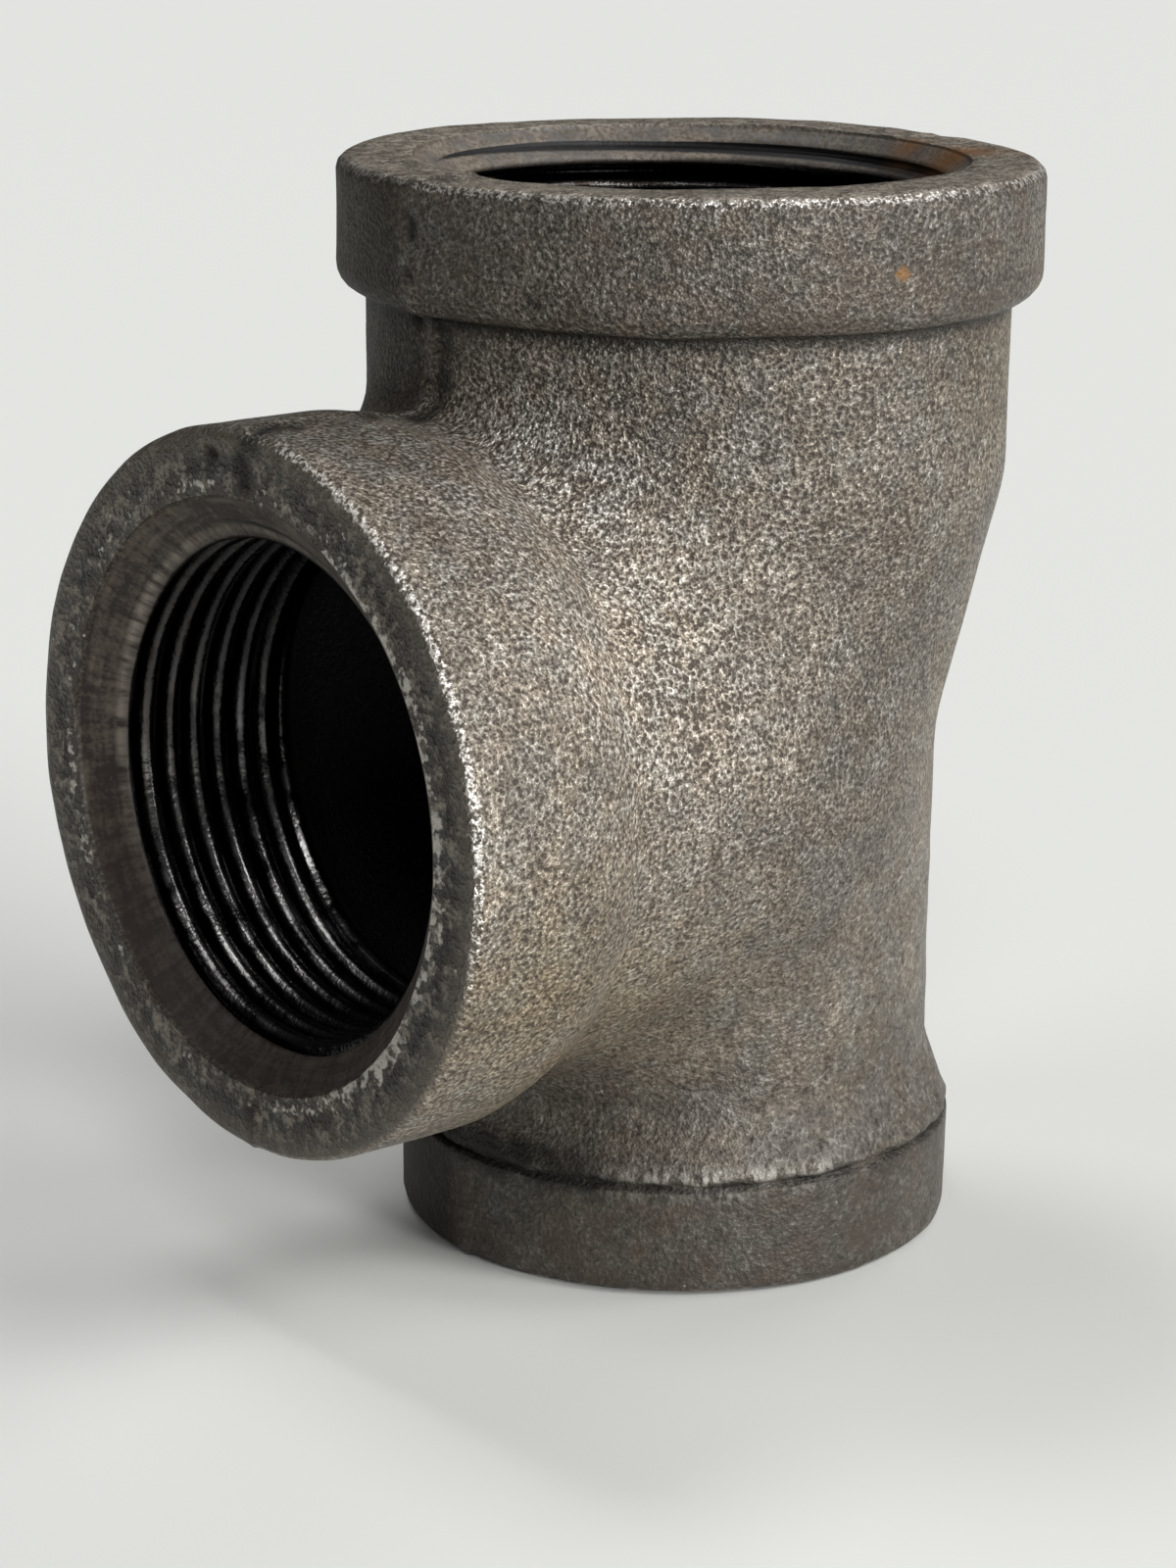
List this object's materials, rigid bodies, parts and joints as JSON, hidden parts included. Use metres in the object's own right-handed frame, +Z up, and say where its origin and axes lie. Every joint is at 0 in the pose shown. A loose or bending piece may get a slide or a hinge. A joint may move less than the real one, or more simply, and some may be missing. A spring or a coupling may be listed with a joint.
{
  "type": "threaded reducing pipe tee",
  "caption": "Cast iron pipe tee with threaded ends: a straight run whose lower end is smaller, and a side branch as large as the upper end.",
  "frame": {"origin": "the point where the centrelines of the run and the branch cross, which centre-to-end lengths are measured from", "axes": "+Z up the run towards its large end, -Y out of the branch, X square to both"},
  "size_m": [0.0552, 0.0709, 0.0863],
  "materials": {
    "black_iron": "sand-cast skin with dark annealing scale"
  },
  "bodies": {
    "root": {"tee_casting": "black_iron"}
  },
  "joints": []
}
